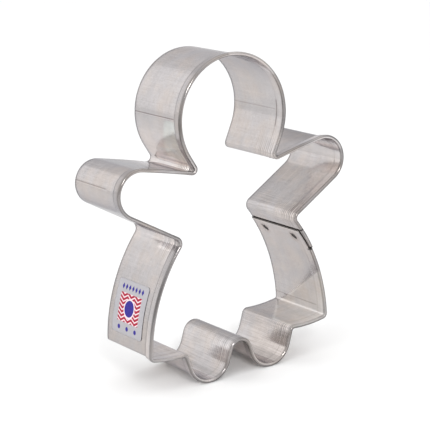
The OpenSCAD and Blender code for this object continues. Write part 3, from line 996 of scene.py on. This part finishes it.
def film_material():
    """The printed film: a dull silvery ground with worn ink in white, red and blue."""
    material, g, shader = new_material("film")
    sheet = g.flat_place()
    axes = g.node("ShaderNodeSeparateXYZ", {"Vector": sheet})
    u = g.math("DIVIDE", axes.outputs["X"], MM)
    v = g.math("DIVIDE", axes.outputs["Y"], MM)

    def below(value, limit):
        return g.step(value, limit - INK_EDGE, limit + INK_EDGE, 1.0, 0.0)

    def from_nearest(value, pitch):
        """Distance from the middle of the nearest of a row of cells."""
        share = g.math("FRACT", g.math("DIVIDE", value, pitch))
        return g.math("ABSOLUTE", g.linear(share, pitch, -pitch / 2))

    field_u = g.math("ABSOLUTE", g.minus(u, FIELD_U))
    field_v = g.math("ABSOLUTE", g.minus(v, FIELD_V))
    field = g.times(below(field_u, FIELD_HALF_U), below(field_v, FIELD_HALF_V))
    zigzag = g.linear(from_nearest(u, CHEVRON_PITCH), 2 * CHEVRON_RISE / CHEVRON_PITCH, v)
    stripe = below(from_nearest(zigzag, STRIPE_PITCH), STRIPE_PITCH * RED_SHARE / 2)
    from_disc = g.length(field_u, field_v)
    ring = below(from_disc, DISC_R + DISC_RING)
    disc = below(from_disc, DISC_R)
    lozenge_u = g.math("DIVIDE", from_nearest(g.plus(u, LOZENGE_PITCH / 2), LOZENGE_PITCH), LOZENGE_U)
    lozenge_v = g.math("DIVIDE", g.math("ABSOLUTE", g.minus(v, LOZENGE_V)), LOZENGE_H)
    lozenge = below(g.plus(lozenge_u, lozenge_v), 1.0)
    lozenge = g.times(lozenge, below(field_u, LOZENGES_OUT))
    dot_u = from_nearest(g.plus(u, DOTS_PITCH / 2), DOTS_PITCH)
    from_dot = g.length(dot_u, g.minus(v, DOTS_V))
    dot = g.times(below(from_dot, DOT_R), below(field_u, DOTS_OUT))
    wear = g.noise(sheet, 900, 4.0, 0.6)
    ground = g.mix(g.noise(sheet, 260, 3.0), rgba(FILM_DULL), rgba(FILM_BRIGHT))
    red = g.mix(wear, rgba(PRINT_RED), rgba(RED_WORN))
    blue = g.mix(wear, rgba(PRINT_BLUE), rgba(BLUE_WORN))
    colour = g.mix(field, ground, rgba(PRINT_WHITE))
    colour = g.mix(g.times(field, stripe), colour, red)
    colour = g.mix(ring, colour, rgba(PRINT_WHITE))
    colour = g.mix(disc, colour, blue)
    colour = g.mix(lozenge, colour, blue)
    colour = g.mix(dot, colour, blue)
    g.feed(shader.inputs["Base Color"], colour)
    inked = g.math("MAXIMUM", field, g.math("MAXIMUM", lozenge, dot))
    g.feed(shader.inputs["Metallic"], g.linear(inked, -0.7, 0.7))
    g.feed(shader.inputs["Roughness"], g.linear(wear, 0.2, 0.22))
    shader.inputs["Specular IOR Level"].default_value = 0.12
    g.feed(shader.inputs["Normal"], g.bump(g.linear(inked, 0.3, wear), 0.00001, 0.5))
    return material


def glue_material():
    """Milky pressure adhesive, with paler streaks where it was wiped on."""
    material, g, shader = new_material("adhesive")
    sheet = g.flat_place()
    smear = g.noise(g.stretched(sheet, (300, 1200, 1)), 1.0, 3.0)
    g.feed(shader.inputs["Base Color"], g.ramp(smear, [(0.3, GLUE_DULL), (0.7, GLUE_PALE)]))
    g.feed(shader.inputs["Roughness"], g.linear(smear, 0.25, 0.4))
    g.feed(shader.inputs["Normal"], g.bump(smear, 0.00002, 0.5))
    return material


film_points, film_faces, film_uvs = label_sheet(GLUE_T, GLUE_T + FILM_T, 0.0, True)
film = new_piece("label_sticker", film_points, film_faces, film_uvs, [film_material()])
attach(film, "root")
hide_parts("label_film")
glue_points, glue_faces, glue_uvs = label_sheet(0.0, GLUE_T, GLUE_INSET, False)
glue = new_piece("label_glue", glue_points, glue_faces, glue_uvs, [glue_material()])
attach(glue, "root")
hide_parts("label_adhesive")

# Direction on the floor in which the studio darkens, square to the right edge of the photograph's view
DARK_WAY = (0.747, -0.665, 0)
FLOOR_REACH = 6.0
FLOOR_WHITE, FLOOR_GREY, FLOOR_FADE = 0.895, 0.8, (0.07, 0.2)


def floor_piece():
    """A pale floor: white behind and round the cutter, falling off to grey on the right and in front."""
    mesh = bpy.data.meshes.new("floor")
    r = FLOOR_REACH
    mesh.from_pydata([(-r, -r, 0), (r, -r, 0), (r, r, 0), (-r, r, 0)], [], [(0, 1, 2, 3)])
    material, g, shader = new_material("floor")
    position = g.node("ShaderNodeNewGeometry").outputs["Position"]
    across = g.vector("DOT_PRODUCT", position, DARK_WAY)
    white = g.step(across, *FLOOR_FADE, FLOOR_WHITE, FLOOR_GREY)
    g.feed(shader.inputs["Base Color"], white)
    shader.inputs["Roughness"].default_value = 0.9
    shader.inputs["Specular IOR Level"].default_value = 0.1
    mesh.materials.append(material)
    floor = bpy.data.objects.new("floor", mesh)
    bpy.context.scene.collection.objects.link(floor)


floor_piece()


def area_light(name, place_at, target, size, watts, mirrored=True):
    """A round soft light; one that isn't mirrored lights the floor and leaves no glint on the tin."""
    data = bpy.data.lights.new(name, "AREA")
    data.shape = "DISK"
    data.size = size
    data.energy = watts
    lamp = bpy.data.objects.new(name, data)
    lamp.location = place_at
    lamp.visible_glossy = mirrored
    lamp.rotation_euler = (Vector(target) - Vector(place_at)).to_track_quat("-Z", "Y").to_euler()
    bpy.context.scene.collection.objects.link(lamp)


area_light("key", (-0.25, -0.62, 0.42), (0, 0, 0.05), 0.18, 1.7)
area_light("left_soft", (-0.77, -0.28, 0.38), (0, 0, 0.03), 0.6, 1.6, mirrored=False)

# Strength of the studio and of its dim and dark parts; then the directions between which each part fades
WORLD_STRENGTH, WORLD_DIM, WORLD_DARK = 1.25, 0.9, 0.6
DIM_ACROSS, DIM_UP = (-0.63, -0.53), (0.62, 0.8)
DARK_ACROSS, DARK_UP = (0.1, 0.6), (0.05, 0.5)


def studio_world():
    """A white studio that is dimmer at the back on the right, and darker still on the right and in front."""
    world = bpy.data.worlds.new("studio")
    bpy.context.scene.world = world
    world.use_nodes = True
    g = Graph(world.node_tree)
    background = world.node_tree.nodes["Background"]
    way = g.node("ShaderNodeTexCoord").outputs["Generated"]
    across = g.vector("DOT_PRODUCT", way, DARK_WAY)
    up = g.vector("DOT_PRODUCT", way, (0, 0, 1))
    dim = g.times(g.step(across, *DIM_ACROSS), g.step(up, *DIM_UP, 1.0, 0.0))
    dark = g.times(g.step(across, *DARK_ACROSS), g.step(up, *DARK_UP, 1.0, 0.0))
    level = g.linear(dim, WORLD_DIM - WORLD_STRENGTH, WORLD_STRENGTH)
    level = g.linear(dark, WORLD_DARK - WORLD_DIM, level)
    g.feed(background.inputs["Strength"], level)
    background.inputs["Color"].default_value = (1, 1, 1, 1)


studio_world()
bpy.context.scene.view_settings.view_transform = "Standard"

# The photograph's camera: distance and direction from a point inside the cutter, roll and focal length
FRAME_PX = 430
FOCAL_PX = 1636.5
AIM = Vector((0, -0.114, 52.286)) * MM
AIM_PX = (213.237, 199.187)
CAMERA_DISTANCE = 493.077 * MM
AZIMUTH, ELEVATION, ROLL = (math.radians(degrees) for degrees in (-34.325, 14.121, 2.307))


def photo_camera():
    forward = Vector((
        -math.sin(AZIMUTH) * math.cos(ELEVATION),
        math.cos(AZIMUTH) * math.cos(ELEVATION),
        -math.sin(ELEVATION),
    ))
    level = Vector((math.cos(AZIMUTH), math.sin(AZIMUTH), 0))
    down = forward.cross(level)
    right = level * math.cos(ROLL) + down * math.sin(ROLL)
    below = down * math.cos(ROLL) - level * math.sin(ROLL)
    off_right, off_down = [(pixel - FRAME_PX / 2) / FOCAL_PX * CAMERA_DISTANCE for pixel in AIM_PX]
    data = bpy.data.cameras.new("camera")
    data.sensor_width = 36
    data.lens = FOCAL_PX / FRAME_PX * data.sensor_width
    data.clip_start = 0.01
    data.clip_end = 30
    camera = bpy.data.objects.new("camera", data)
    rotation = Matrix((right, -below, -forward)).transposed()
    place_at = AIM - right * off_right - below * off_down - forward * CAMERA_DISTANCE
    camera.matrix_world = Matrix.Translation(place_at) @ rotation.to_4x4()
    bpy.context.scene.collection.objects.link(camera)
    bpy.context.scene.camera = camera


photo_camera()
